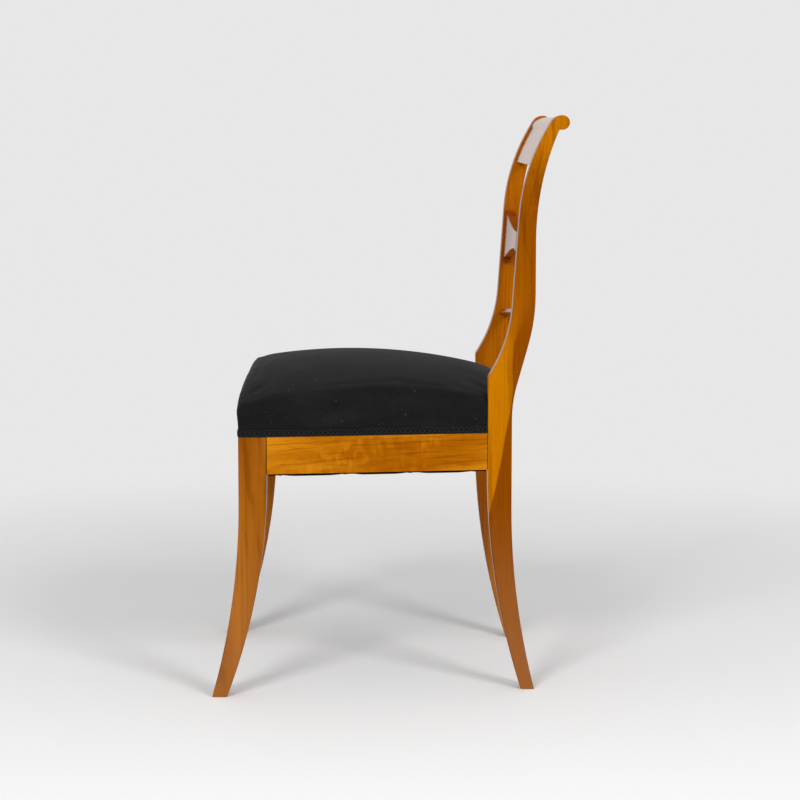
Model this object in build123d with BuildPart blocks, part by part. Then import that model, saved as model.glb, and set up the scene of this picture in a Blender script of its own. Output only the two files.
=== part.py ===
"""A Biedermeier side chair: a cherry frame with sabre legs and a sprung, stuffed-over seat.

Millimetres. +Z is up, the sitter faces -Y, +X is the sitter's left.
The origin is on the floor, under the middle of the chair.
"""

from build123d import *
import math
import os

os.makedirs("parts", exist_ok=True)

# Front legs: one sabre curve, seen from the side
front_half_width = 237.0
front_leg_width = 34.0
front_leg_face = -231.0
front_leg_depth = 43.0
front_leg_kick = 43.2
front_foot_depth = 23.0
front_leg_bend = 305.0
front_leg_back_bend = 342.0
leg_arris = 2.0
foot_chamfer = 0.8

# Rear stiles: back leg and upright in one piece
stile_half_width = 196.0
stile_width = 28.0
stile_face = 151.5
stile_depth = 37.2
rear_leg_kick = 37.0
rear_foot_depth = 21.0
rear_leg_bend = 290.0
rear_leg_front_bend = 342.0

# Back edge of the upright: a sway out above the seat, then the lean of the top
sway_start = 425.0
sway_angle = 15.6
sway_lower_radius = 197.0
sway_run = 64.4
sway_upper_radius = 289.0
lean_start = 700.0
lean_radius = 431.0
lean_angle = 21.6

# Front edge of the upright, from the corner over the seat
corner_height = 489.5
corner_round = 3.0
cove_radius = 230.0
cove_angle = 33.4
post_angle = 4.0
post_run = 135.3
neck_angle = 30.0
neck_run = 12.9
brow_radius = 20.0
scroll_radius = 11.0
scroll_back = 8.85
scroll_rise = 20.35
scroll_hollow = 2.5

# Seat rails
rail_bottom = 347.0
rail_height = 78.0
front_rail_thickness = 24.0
side_rail_thickness = 24.0
rear_rail_thickness = 22.0
rear_rail_setback = 4.0
fabric_line = 404.0

# Mortise and tenon joints
tenon_fit = 0.15
mortise_spare = 0.8
rail_tenon_thickness = 10.0
rail_tenon_height = 42.0
rail_tenon_lift = 10.0
front_rail_tenon = 20.0
rear_rail_tenon = 15.0
side_rail_front_tenon = 18.0
side_rail_rear_tenon = 13.0
back_tenon = 12.0

# Crest rail: its section follows the top of the stiles
crest_bottom = 813.0
crest_face_setback = 3.1
crest_back_setback = 3.0
crest_tenon_inset = 3.5
crest_arris = 1.2

# Hollow of the back: splat and lower rail bow backwards between the stiles
back_hollow = 8.5

# Back splat: a board cut as a bow, with a carved knot
splat_height = 690.0
splat_end_height = 84.0
splat_setback = 3.4
splat_thickness = 13.0
splat_shoulder_width = 9.0
splat_shoulder_step = 5.0
splat_ledge_drop = 3.5
splat_cove_start = 24.0
splat_waist_half_length = 36.0
splat_waist_height = 30.0
splat_arris = 1.2
splat_tenon_height = 56.0
splat_tenon_thickness = 7.0
knot_radius = 76.0
knot_rise = 1.5
knot_groove_radius = 2.2
knot_groove_bend = 34.0
knot_groove_offset = 15.5
knot_groove_overrun = 20.0

# Lower back rail: an arched slat
slat_height = 562.0
slat_setback = 8.5
slat_depth = 15.0
slat_thickness = 8.5
slat_rise = 15.0
slat_tilt = 17.0
slat_nose = 1.6
slat_tenon_depth = 9.0
slat_tenon_thickness = 6.0

# Glued corner blocks
block_leg = 50.0
block_height = 50.0
block_lift = 10.0

# Webbing, tacks and the cloth under the seat
strap_width = 50.0
strap_thickness = 1.3
strap_pitch_across = 100.0
strap_pitch_along = 100.0
strap_edge = 7.0
tack_head_radius = 3.5
tack_head_thickness = 0.8
tack_shank_radius = 0.9
tack_length = 9.0
tack_spread = 24.0
tack_edge = 7.0
hole_fit = 0.1
dust_cover_thickness = 0.8
dust_cover_edge = 5.0
dust_tack_edge = 12.0
dust_tack_end = 20.0
dust_tack_count = 4

# Springs and the hessian over them
spring_wire = 3.5
spring_end_radius = 34.0
spring_waist_radius = 22.0
spring_turns = 5
spring_height = 102.0
spring_seat_gap = 0.1
spring_samples = 24
hessian_thickness = 1.0
hessian_run = 44.0
hessian_edge = 12.0
hessian_notch = 50.0

# Seat upholstery
cover_thickness = 2.0
cover_fit = 0.2
cover_hem = 1.0
cover_corner = 6.0
cover_stile_gap = 0.4
wadding_thickness = 8.0
crown_height = 513.5
crown_centre = -60.0
crown_radius_along = 880.0
crown_radius_across = 640.0
edge_round = 24.0
front_roll_start = 452.0
front_roll_depth = 31.0
front_roll_height = 54.0
back_roll_start = 432.0
back_roll_depth = 20.0
back_roll_height = 53.0
braid_height = 11.0
braid_thickness = 1.4

# Places that follow from the sizes above
rail_top = rail_bottom + rail_height
front_leg_back = front_leg_face + front_leg_depth
front_leg_inner = front_half_width - front_leg_width
stile_back = stile_face + stile_depth
stile_inner = stile_half_width - stile_width
front_rail_back = front_leg_face + front_rail_thickness
rear_rail_back = stile_back - rear_rail_setback
rear_rail_face = rear_rail_back - rear_rail_thickness
tenon_bottom = rail_bottom + rail_tenon_lift
side_slope = (front_half_width - stile_half_width) / (stile_face - front_leg_back)
side_rail_width = side_rail_thickness * math.hypot(1, side_slope)
beyond = 2 * max(front_half_width, rear_rail_back, -front_leg_face)


def side_x(y):
    """X of the side rail's outer face at a place along the seat."""
    return front_half_width - (y - front_leg_back) * side_slope


def turned(point, radius, start, end):
    """End of an arc that turns from one lean off the vertical to another, in (y, z)."""
    a, b = math.radians(start), math.radians(end)
    side = 1 if end > start else -1
    return (
        point[0] + side * radius * (math.cos(a) - math.cos(b)),
        point[1] + side * radius * (math.sin(b) - math.sin(a)),
    )


def along(point, length, lean):
    """A straight run at a lean off the vertical, in (y, z)."""
    a = math.radians(lean)
    return (point[0] + length * math.sin(a), point[1] + length * math.cos(a))


def heading(lean):
    """Unit direction at a lean off the vertical, in (y, z)."""
    return (math.sin(math.radians(lean)), math.cos(math.radians(lean)))


def save(builder, name):
    """Label one finished piece and write it."""
    builder.part.label = name
    export_step(builder.part, f"parts/{name}.step")


def block(x_span, y_span, z_span):
    """A plain box between three pairs of limits, used for tenons and cuts."""
    with BuildPart() as body:
        with BuildSketch(Plane.XY.offset(z_span[0])):
            with BuildLine():
                Polyline(
                    (x_span[0], y_span[0]),
                    (x_span[1], y_span[0]),
                    (x_span[1], y_span[1]),
                    (x_span[0], y_span[1]),
                    close=True,
                )
            make_face()
        extrude(amount=z_span[1] - z_span[0])
    return body.part


def plan(points, z_span):
    """A prism from a plan outline, between two heights."""
    with BuildPart() as body:
        with BuildSketch(Plane.XY.offset(z_span[0])):
            with BuildLine():
                Polyline(*points, close=True)
            make_face()
        extrude(amount=z_span[1] - z_span[0])
    return body.part


# Tenons of the seat rails, each drawn once and cut again a little larger as its mortise
def rail_tenon_span(grow):
    """Heights of a seat rail's tenon, or of its mortise."""
    return (tenon_bottom - grow, tenon_bottom + rail_tenon_height + grow)


def side_tenon(shoulder, tip, grow):
    """Tenon of the left side rail, in line with the slanting rail."""
    half = (rail_tenon_thickness / 2 + grow) * math.hypot(1, side_slope)
    near = side_x(shoulder) - side_rail_width / 2
    far = side_x(tip) - side_rail_width / 2
    outline = [
        (near - half, shoulder),
        (near + half, shoulder),
        (far + half, tip),
        (far - half, tip),
    ]
    return plan(outline, rail_tenon_span(grow))


def cross_tenon(face, back, shoulder, length, grow):
    """Left tenon of the front or rear rail, at the middle of its thickness."""
    middle = (face + back) / 2
    half = rail_tenon_thickness / 2 + grow
    return block((shoulder, shoulder + length), (middle - half, middle + half), rail_tenon_span(grow))


def side_front_tenon(grow=0.0, spare=0.0):
    return side_tenon(front_leg_back, front_leg_back - side_rail_front_tenon - spare, grow)


def side_rear_tenon(grow=0.0, spare=0.0):
    return side_tenon(stile_face, stile_face + side_rail_rear_tenon + spare, grow)


def front_tenon(grow=0.0, spare=0.0):
    return cross_tenon(front_leg_face, front_rail_back, front_leg_inner, front_rail_tenon + spare, grow)


def rear_tenon(grow=0.0, spare=0.0):
    return cross_tenon(rear_rail_face, rear_rail_back, stile_inner, rear_rail_tenon + spare, grow)


# Upright: corners of the side profile, from the seat to the scroll
sway_low = turned((stile_back, sway_start), sway_lower_radius, 0, sway_angle)
sway_high = along(sway_low, sway_run, sway_angle)
sway_end = turned(sway_high, sway_upper_radius, sway_angle, 0)
lean_end = turned((sway_end[0], lean_start), lean_radius, 0, lean_angle)
corner = (stile_face, corner_height)
cove_end = turned(corner, cove_radius, cove_angle, post_angle)
post_end = along(cove_end, post_run, post_angle)

# Scroll at the top of the back edge, and the brow that leads over to it
scroll_centre = (lean_end[0] + scroll_back, lean_end[1] + scroll_rise)
scroll_top = (scroll_centre[0], scroll_centre[1] + scroll_radius)
scroll_share = scroll_radius / math.hypot(scroll_back, scroll_rise)
scroll_foot = (scroll_centre[0] - scroll_share * scroll_back, scroll_centre[1] - scroll_share * scroll_rise)
brow = turned((0, 0), brow_radius, neck_angle, 90)
brow_start = (scroll_top[0] - brow[0], scroll_top[1] - brow[1])
neck_end = along(brow_start, -neck_run, neck_angle)

# Neck's front arc, from the post up to the brow, and the middles of both arcs of the neck
post_heading = heading(post_angle)
neck_chord = (neck_end[0] - post_end[0], neck_end[1] - post_end[1])
neck_bow = neck_chord[0] * post_heading[1] - neck_chord[1] * post_heading[0]
neck_radius = (neck_chord[0] ** 2 + neck_chord[1] ** 2) / (2 * neck_bow)
neck_axis = (post_end[0] + neck_radius * post_heading[1], post_end[1] - neck_radius * post_heading[0])
lean_axis = (sway_end[0] + lean_radius, lean_start)


def upright_face(height):
    """Front edge of the upright at a height on its straight post."""
    return cove_end[0] + (height - cove_end[1]) * math.tan(math.radians(post_angle))


# Crest rail section, parallel to the edges of the stile's neck
crest_face_radius = neck_radius - crest_face_setback
crest_back_radius = lean_radius + crest_back_setback
crest_scroll_radius = scroll_radius - crest_back_setback


def on_arc(axis, radius, height):
    """The point of an arc round an axis at a height, on the side of the sitter."""
    return (axis[0] - math.sqrt(radius**2 - (height - axis[1]) ** 2), height)


def arc_heading(axis, radius, point):
    """Upward direction of that arc at a point."""
    return ((point[1] - axis[1]) / radius, (axis[0] - point[0]) / radius)


def crest_bar(half_length, inset):
    """The crest rail's section, drawn in by an inset, over a length across the chair."""
    low_face = on_arc(neck_axis, crest_face_radius, crest_bottom)
    low_back = on_arc(lean_axis, crest_back_radius, crest_bottom)
    high_face = on_arc(neck_axis, crest_face_radius, neck_end[1])
    high_back = on_arc(lean_axis, crest_back_radius, lean_end[1])
    top = (scroll_centre[0], scroll_centre[1] + crest_scroll_radius)
    with BuildPart() as bar:
        with BuildSketch(Plane.YZ.offset(-half_length)):
            with BuildLine():
                TangentArc(
                    low_face, high_face, tangent=arc_heading(neck_axis, crest_face_radius, low_face)
                )
                TangentArc(top, high_face, tangent=(-1, 0))
                Line(top, scroll_centre)
                Line(scroll_centre, high_back)
                TangentArc(
                    low_back, high_back, tangent=arc_heading(lean_axis, crest_back_radius, low_back)
                )
                Line(low_back, low_face)
            make_face()
            with Locations(scroll_centre):
                Circle(crest_scroll_radius)
            if inset:
                offset(amount=-inset, mode=Mode.REPLACE)
        extrude(amount=2 * half_length)
    return bar.part


# Back splat: a plane on its front face, leaning with the posts
splat_lean = math.radians(post_angle)
splat_plane = Plane(
    origin=(0, upright_face(splat_height) + splat_setback, splat_height),
    x_dir=(1, 0, 0),
    z_dir=(0, -math.cos(splat_lean), math.sin(splat_lean)),
)


hollow_radius = (stile_inner**2 + back_hollow**2) / (2 * back_hollow)


def hollow_slab(plane, depth, half_height):
    """A bowed slab behind a plane, as long as the back is wide inside."""
    lying = Plane(
        origin=plane.from_local_coords((0, -half_height, 0)),
        x_dir=plane.x_dir,
        z_dir=plane.y_dir,
    )
    with BuildPart() as slab:
        with BuildSketch(lying):
            with BuildLine():
                ThreePointArc((-stile_inner, 0), (0, back_hollow), (stile_inner, 0))
                Line((stile_inner, 0), (stile_inner, depth))
                ThreePointArc((-stile_inner, depth), (0, back_hollow + depth), (stile_inner, depth))
                Line((-stile_inner, 0), (-stile_inner, depth))
            make_face()
        extrude(amount=2 * half_height)
    return slab.part


def on_hollow_face(plane, edge):
    """True for an edge that lies on the bowed front of a back member."""
    place = plane.to_local_coords(edge @ 0.5)
    reach = math.hypot(place.X, hollow_radius - back_hollow - place.Z)
    return abs(reach - hollow_radius) < 0.01


def end_tenons(plane, depth, tenon_depth, tenon_height, grow=0.0, spare=0.0):
    """Tenons at both ends of a back member, from the stiles' inner faces outwards."""
    length = back_tenon + spare
    with BuildPart() as pair:
        with BuildSketch(plane.offset(grow - (depth - tenon_depth) / 2)):
            with Locations((stile_inner + length / 2, 0), (-stile_inner - length / 2, 0)):
                Rectangle(length, tenon_height + 2 * grow)
        extrude(amount=-tenon_depth - 2 * grow)
    return pair.part


def splat_tenons(**fit):
    return end_tenons(splat_plane, splat_thickness, splat_tenon_thickness, splat_tenon_height, **fit)


# Lower back rail: a plane on its front edge, tipped back with the sway of the stiles
slat_lean = math.radians(slat_tilt)
slat_cove_drop = math.asin(
    math.sin(math.radians(cove_angle)) - (slat_height - corner_height) / cove_radius
)
slat_face = stile_face + cove_radius * (math.cos(slat_cove_drop) - math.cos(math.radians(cove_angle)))
slat_plane = Plane(
    origin=(0, slat_face + slat_setback, slat_height),
    x_dir=(1, 0, 0),
    z_dir=(0, -math.cos(slat_lean), math.sin(slat_lean)),
)


def slat_tenons(**fit):
    return end_tenons(slat_plane, slat_depth, slat_tenon_depth, slat_tenon_thickness, **fit)


# Seat outline in plan, and the upholstered form above the rails
def seat_outline(inset):
    """Left half corners of the seat, drawn in by an inset: front, knee, rear."""
    side = inset * math.hypot(1, side_slope)
    return [
        (front_half_width - inset, front_leg_face + inset),
        (front_half_width - inset, front_leg_back - (side - inset) / side_slope),
        (side_x(rear_rail_back - inset) - side, rear_rail_back - inset),
    ]


def both_sides(points):
    """A closed outline from its left half, listed from front to back."""
    return points + [(-x, y) for x, y in reversed(points)]


def seat_column(inset, z_span):
    """The seat's plan with rounded front corners, as a column."""
    with BuildPart() as column:
        with BuildSketch(Plane.XY.offset(z_span[0])) as sketch:
            with BuildLine():
                Polyline(*both_sides(seat_outline(inset)), close=True)
            make_face()
            fillet(sketch.vertices().group_by(Axis.Y)[0], radius=max(cover_corner - inset, leg_arris))
        extrude(amount=z_span[1] - z_span[0])
    return column.part


def seat_form(inset, bottom):
    """The stuffed seat, drawn in by an inset and cut off flat at the bottom.

    A crowned block with rolled front and back edges, let in round the stiles.
    """
    side = inset * math.hypot(1, side_slope)
    clear_top = crown_height + edge_round
    front = front_leg_face + inset
    back = rear_rail_back - inset
    corners = [(side_x(front) - side, front), (side_x(back) - side, back)]
    crown_axis_height = crown_height - crown_radius_along
    crown_top = crown_height - inset
    crown_half_width = side_x(front) + inset
    crown_drop = (crown_radius_across - inset) - math.sqrt(
        (crown_radius_across - inset) ** 2 - crown_half_width**2
    )
    crown_axis = Axis((0, crown_centre, crown_axis_height), (1, 0, 0))
    column = seat_column(inset, (bottom, clear_top))
    pull = cover_stile_gap + inset
    notch = block(
        (stile_inner - pull, beyond),
        (stile_face - pull, beyond),
        (bottom, clear_top),
    )
    with BuildPart() as profile:
        with BuildSketch(Plane.YZ.offset(-beyond)):
            with BuildLine():
                roll = (front + front_roll_depth, front_roll_start + front_roll_height - inset)
                TangentArc((front, front_roll_start - inset), roll, tangent=(0, 1))
                tuck = (back - back_roll_depth, back_roll_start + back_roll_height - inset)
                TangentArc((back, back_roll_start - inset), tuck, tangent=(0, 1))
                Polyline(roll, (roll[0], clear_top), (tuck[0], clear_top), tuck)
                Polyline(
                    (front, front_roll_start - inset),
                    (front, bottom),
                    (back, bottom),
                    (back, back_roll_start - inset),
                )
            make_face()
        extrude(amount=2 * beyond)
    with BuildPart() as crown:
        with BuildSketch(Plane.XZ.offset(-crown_centre)):
            with BuildLine():
                ThreePointArc(
                    (-crown_half_width, crown_top - crown_drop),
                    (0, crown_top),
                    (crown_half_width, crown_top - crown_drop),
                )
                Polyline(
                    (crown_half_width, crown_top - crown_drop),
                    (crown_half_width, crown_axis_height),
                    (-crown_half_width, crown_axis_height),
                    (-crown_half_width, crown_top - crown_drop),
                )
            make_face()
        revolve(axis=crown_axis, revolution_arc=360)
    with BuildPart() as form:
        with BuildSketch(Plane.XY.offset(bottom)):
            with BuildLine():
                Polyline(*both_sides(corners), close=True)
            make_face()
        extrude(amount=clear_top - bottom)
        add(crown.part, mode=Mode.INTERSECT)
        top = form.faces().sort_by(Axis.Z)[-1]
        fillet(top.edges().sort_by(Axis.X)[:1] + top.edges().sort_by(Axis.X)[-1:], radius=edge_round - inset)
        add(profile.part, mode=Mode.INTERSECT)
        add(column, mode=Mode.INTERSECT)
        add(notch, mode=Mode.SUBTRACT)
        add(mirror(notch, about=Plane.YZ, mode=Mode.PRIVATE), mode=Mode.SUBTRACT)
    return form.part


# Rebate round the top of the rails, where the cover lies flush with the wood
wrap_inset = cover_thickness + cover_fit
with BuildPart() as rebate:
    add(block((-beyond, beyond), (-beyond, beyond), (fabric_line, rail_top + cover_hem)))
    add(seat_column(wrap_inset, (rail_bottom, rail_top + rail_height)), mode=Mode.SUBTRACT)


# Places of the webbing, its tacks and the tacks of the cloth below
seat_middle = (front_rail_back + rear_rail_face) / 2
strap_level = rail_bottom - strap_thickness / 2
strap_steps = (-1, 0, 1)
strap_names_along = ("right", "centre", "left")
strap_names_across = ("front", "middle", "rear")
dust_tack_steps = [2 * n / (dust_tack_count - 1) - 1 for n in range(dust_tack_count)]
dust_cover_top = rail_bottom - max(strap_thickness + tack_head_thickness, 1.5 * strap_thickness)
dust_cover_bottom = dust_cover_top - dust_cover_thickness


def along_x(step):
    return step * strap_pitch_across


def across_y(step):
    return seat_middle + step * strap_pitch_along


def side_inner(y):
    """X of the left side rail's inner face."""
    return side_x(y) - side_rail_width


def across_reach(y):
    """Half length of a cross strap, and where it leaves the rail, by its rear edge."""
    rear_edge = y + strap_width / 2
    return side_x(rear_edge) - strap_edge, side_inner(rear_edge)


along_ends = (front_leg_face + strap_edge, rear_rail_back - strap_edge)
webbing_tack_places = []
for step in strap_steps:
    for shift in (-tack_spread / 2, tack_spread / 2):
        webbing_tack_places.append((along_x(step) + shift, along_ends[0] + tack_edge))
        webbing_tack_places.append((along_x(step) + shift, along_ends[1] - tack_edge))
        reach = across_reach(across_y(step))[0] - tack_edge
        webbing_tack_places.append((reach, across_y(step) + shift))
        webbing_tack_places.append((-reach, across_y(step) + shift))

dust_tack_places = []
for step in dust_tack_steps:
    tack_x = step * (stile_inner - dust_tack_end)
    dust_tack_places.append((tack_x, front_leg_face + dust_tack_edge))
    dust_tack_places.append((tack_x, rear_rail_back - dust_tack_edge))
    tack_y = (front_leg_back + stile_face) / 2
    tack_y += step * ((stile_face - front_leg_back) / 2 - dust_tack_end)
    side_tack = side_x(tack_y) - dust_tack_edge
    dust_tack_places.append((side_tack, tack_y))
    dust_tack_places.append((-side_tack, tack_y))


def rods(places, radius, z_span):
    """Upright round rods at a list of places."""
    with BuildPart() as group:
        with BuildSketch(Plane.XY.offset(z_span[0])):
            with Locations(*places):
                Circle(radius)
        extrude(amount=z_span[1] - z_span[0])
    return group.part


hole_radius = tack_shank_radius + hole_fit
webbing_tack_top = rail_bottom - strap_thickness
webbing_tack_holes = rods(
    webbing_tack_places, hole_radius, (webbing_tack_top, webbing_tack_top + tack_length + mortise_spare)
)
dust_tack_holes = rods(
    dust_tack_places, hole_radius, (dust_cover_bottom, dust_cover_bottom + tack_length + mortise_spare)
)


# Front legs
with BuildPart() as front_leg:
    front_bend = (front_leg_face, front_leg_bend)
    back_bend = (front_leg_back, front_leg_back_bend)
    toe = (front_leg_face - front_leg_kick, 0)
    heel = (toe[0] + front_foot_depth, 0)
    with BuildSketch(Plane.YZ.offset(front_leg_inner)):
        with BuildLine():
            TangentArc(front_bend, toe, tangent=(0, -1))
            Line(toe, heel)
            TangentArc(back_bend, heel, tangent=(0, -1))
            Polyline(front_bend, (front_leg_face, rail_top), (front_leg_back, rail_top), back_bend)
        make_face()
    extrude(amount=front_leg_width)
    arrises = front_leg.faces().filter_by(Axis.X).edges().filter_by(Axis.Y, reverse=True)
    fillet(arrises, radius=leg_arris)
    chamfer(front_leg.faces().sort_by(Axis.Z)[0].edges(), length=foot_chamfer)
    add(rebate.part, mode=Mode.SUBTRACT)
    add(front_tenon(grow=tenon_fit, spare=mortise_spare), mode=Mode.SUBTRACT)
    add(side_front_tenon(grow=tenon_fit, spare=mortise_spare), mode=Mode.SUBTRACT)


# Rear stiles
with BuildPart() as rear_stile:
    back_bend = (stile_back, rear_leg_bend)
    front_bend = (stile_face, rear_leg_front_bend)
    toe = (stile_back + rear_leg_kick, 0)
    heel = (toe[0] - rear_foot_depth, 0)
    with BuildSketch(Plane.YZ.offset(stile_inner)) as side_profile:
        with BuildLine():
            TangentArc(back_bend, toe, tangent=(0, -1))
            Line(toe, heel)
            TangentArc(front_bend, heel, tangent=(0, -1))
            Line(front_bend, corner)
            TangentArc(corner, cove_end, tangent=heading(cove_angle))
            Line(cove_end, post_end)
            TangentArc(post_end, neck_end, tangent=post_heading)
            Line(neck_end, brow_start)
            TangentArc(brow_start, scroll_top, tangent=heading(neck_angle))
            Line(scroll_top, scroll_centre)
            Line(scroll_centre, lean_end)
            TangentArc((sway_end[0], lean_start), lean_end, tangent=(0, 1))
            Line(sway_end, (sway_end[0], lean_start))
            TangentArc(sway_high, sway_end, tangent=heading(sway_angle))
            Line(sway_low, sway_high)
            TangentArc((stile_back, sway_start), sway_low, tangent=(0, 1))
            Line(back_bend, (stile_back, sway_start))
        make_face()
        with Locations(scroll_centre):
            Circle(scroll_radius)
        fillet(side_profile.vertices().sort_by_distance(corner)[0], radius=corner_round)
        fillet(side_profile.vertices().sort_by_distance(scroll_foot)[0], radius=scroll_hollow)
    extrude(amount=stile_width)
    arrises = rear_stile.faces().filter_by(Axis.X).edges().filter_by(Axis.Y, reverse=True)
    fillet(arrises, radius=leg_arris)
    chamfer(rear_stile.faces().sort_by(Axis.Z)[0].edges(), length=foot_chamfer)
    add(rear_tenon(grow=tenon_fit, spare=mortise_spare), mode=Mode.SUBTRACT)
    add(side_rear_tenon(grow=tenon_fit, spare=mortise_spare), mode=Mode.SUBTRACT)
    add(
        crest_bar(stile_inner + back_tenon + mortise_spare, crest_tenon_inset - tenon_fit),
        mode=Mode.SUBTRACT,
    )
    add(splat_tenons(grow=tenon_fit, spare=mortise_spare), mode=Mode.SUBTRACT)
    add(slat_tenons(grow=tenon_fit, spare=mortise_spare), mode=Mode.SUBTRACT)


# Seat rails
with BuildPart() as side_seat_rail:
    add(
        plan(
            [
                (side_x(front_leg_back), front_leg_back),
                (side_x(stile_face), stile_face),
                (side_inner(stile_face), stile_face),
                (side_inner(front_leg_back), front_leg_back),
            ],
            (rail_bottom, rail_top),
        )
    )
    add(side_front_tenon())
    add(side_rear_tenon())
    add(rebate.part, mode=Mode.SUBTRACT)
    add(webbing_tack_holes, mode=Mode.SUBTRACT)
    add(dust_tack_holes, mode=Mode.SUBTRACT)


def cross_rail(half_length, face, back, tenon):
    """A front or rear rail with a tenon at each end."""
    with BuildPart() as rail:
        add(block((-half_length, half_length), (face, back), (rail_bottom, rail_top)))
        add(tenon)
        mirror(tenon, about=Plane.YZ)
        add(rebate.part, mode=Mode.SUBTRACT)
        add(webbing_tack_holes, mode=Mode.SUBTRACT)
        add(dust_tack_holes, mode=Mode.SUBTRACT)
    return rail


front_seat_rail = cross_rail(front_leg_inner, front_leg_face, front_rail_back, front_tenon())
rear_seat_rail = cross_rail(stile_inner, rear_rail_face, rear_rail_back, rear_tenon())


# Back: crest rail, bow splat and lower rail
crest_tenons = crest_bar(stile_inner + back_tenon, crest_tenon_inset)
with BuildPart() as crest_rail:
    add(crest_bar(stile_inner, 0))
    fillet(crest_rail.edges().filter_by(Axis.X).sort_by(Axis.Z)[:2], radius=crest_arris)
    add(crest_tenons)

with BuildPart() as back_splat:
    end_rise = splat_end_height / 2
    ledge_rise = end_rise - splat_shoulder_step
    waist_rise = splat_waist_height / 2
    shoulder = stile_inner - splat_shoulder_width
    cove_foot = stile_inner - splat_cove_start
    with BuildSketch(splat_plane):
        with BuildLine():
            Line((0, waist_rise), (splat_waist_half_length, waist_rise))
            cove_top = (cove_foot, ledge_rise - splat_ledge_drop)
            TangentArc((splat_waist_half_length, waist_rise), cove_top, tangent=(1, 0))
            Polyline(
                cove_top,
                (shoulder, ledge_rise),
                (shoulder, end_rise),
                (stile_inner, end_rise),
                (stile_inner, 0),
            )
            mirror(about=Plane.XZ)
            mirror(about=Plane.YZ)
        make_face()
    extrude(amount=-splat_thickness - back_hollow)
    add(hollow_slab(splat_plane, splat_thickness, splat_end_height), mode=Mode.INTERSECT)
    face_edges = back_splat.edges().filter_by(lambda e: on_hollow_face(splat_plane, e))
    fillet(face_edges.filter_by(lambda e: abs((e @ 0.5).X) < cove_foot), radius=splat_arris)
    knot_half = math.sqrt(knot_radius**2 - (knot_radius - knot_rise) ** 2)
    knot_plane = Plane(
        origin=splat_plane.from_local_coords((0, -waist_rise, 0)),
        x_dir=splat_plane.x_dir,
        z_dir=splat_plane.y_dir,
    )
    with BuildSketch(knot_plane):
        with BuildLine():
            knot_foot = back_hollow + splat_arris
            ThreePointArc((-knot_half, back_hollow), (0, back_hollow - knot_rise), (knot_half, back_hollow))
            Line((knot_half, back_hollow), (knot_half, knot_foot))
            Line((knot_half, knot_foot), (-knot_half, knot_foot))
            Line((-knot_half, knot_foot), (-knot_half, back_hollow))
        make_face()
    extrude(amount=splat_waist_height)
    groove_sweep = 2 * math.degrees(math.asin(splat_waist_height / 2 / knot_groove_bend)) + knot_groove_overrun
    for side in (1, -1):
        middle = side * (knot_groove_offset + knot_groove_bend)
        first = (180 if side > 0 else 0) - groove_sweep / 2
        with BuildLine(splat_plane.offset(-back_hollow)) as groove_path:
            CenterArc((middle, 0), knot_groove_bend, first, groove_sweep)
        with BuildSketch(Plane(groove_path.line @ 0, z_dir=groove_path.line % 0)):
            Circle(knot_groove_radius)
        sweep(path=groove_path.line, mode=Mode.SUBTRACT)
    add(splat_tenons())

with BuildPart() as lower_back_rail:
    half = slat_thickness / 2
    with BuildSketch(slat_plane):
        with BuildLine():
            ThreePointArc((-stile_inner, half), (0, half + slat_rise), (stile_inner, half))
            Line((stile_inner, half), (stile_inner, -half))
            ThreePointArc((-stile_inner, -half), (0, slat_rise - half), (stile_inner, -half))
            Line((-stile_inner, half), (-stile_inner, -half))
        make_face()
    extrude(amount=-slat_depth - back_hollow)
    add(hollow_slab(slat_plane, slat_depth, slat_thickness + slat_rise), mode=Mode.INTERSECT)
    nose = lower_back_rail.edges().filter_by(lambda e: on_hollow_face(slat_plane, e))
    fillet(nose.filter_by(lambda e: e.length > stile_inner), radius=slat_nose)
    add(slat_tenons())


# Corner blocks, let in round the legs
with BuildPart() as corner_block_front:
    add(
        plan(
            [
                (front_leg_inner - block_leg, front_rail_back),
                (front_leg_inner, front_rail_back),
                (front_leg_inner, front_leg_back),
                (side_inner(front_leg_back), front_leg_back),
                (side_inner(front_leg_back + block_leg), front_leg_back + block_leg),
            ],
            (rail_bottom + block_lift, rail_bottom + block_lift + block_height),
        )
    )

with BuildPart() as corner_block_rear:
    add(
        plan(
            [
                (stile_inner - block_leg, rear_rail_face),
                (stile_inner, rear_rail_face),
                (stile_inner, stile_face),
                (side_inner(stile_face), stile_face),
                (side_inner(stile_face - block_leg), stile_face - block_leg),
            ],
            (rail_bottom + block_lift, rail_bottom + block_lift + block_height),
        )
    )

for left, name in (
    (front_leg, "front_leg"),
    (rear_stile, "rear_stile"),
    (side_seat_rail, "side_seat_rail"),
    (corner_block_front, "front_corner_block"),
    (corner_block_rear, "rear_corner_block"),
):
    with BuildPart() as right:
        mirror(left.part, about=Plane.YZ)
    save(left, f"{name}_left")
    save(right, f"{name}_right")

save(front_seat_rail, "front_seat_rail")
save(rear_seat_rail, "rear_seat_rail")
save(crest_rail, "crest_rail")
save(back_splat, "back_splat")
save(lower_back_rail, "lower_back_rail")


# Interlaced webbing under the rails
def strap(plane, ends, edges, crossings):
    """One strap in side view: flat on the rails, over and under the straps it crosses."""
    half = strap_thickness / 2
    line = [(ends[0], 0), (edges[0], 0)]
    for place, over in crossings:
        level = half if over else -half
        line += [(place - strap_width / 2, level), (place + strap_width / 2, level)]
    line += [(edges[1], 0), (ends[1], 0)]
    outline = [(s, z + half) for s, z in line] + [(s, z - half) for s, z in reversed(line)]
    with BuildPart() as body:
        with BuildSketch(plane):
            with BuildLine():
                Polyline(*outline, close=True)
            make_face()
        extrude(amount=strap_width / 2, both=True)
        add(webbing_tack_holes, mode=Mode.SUBTRACT)
    return body


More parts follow.
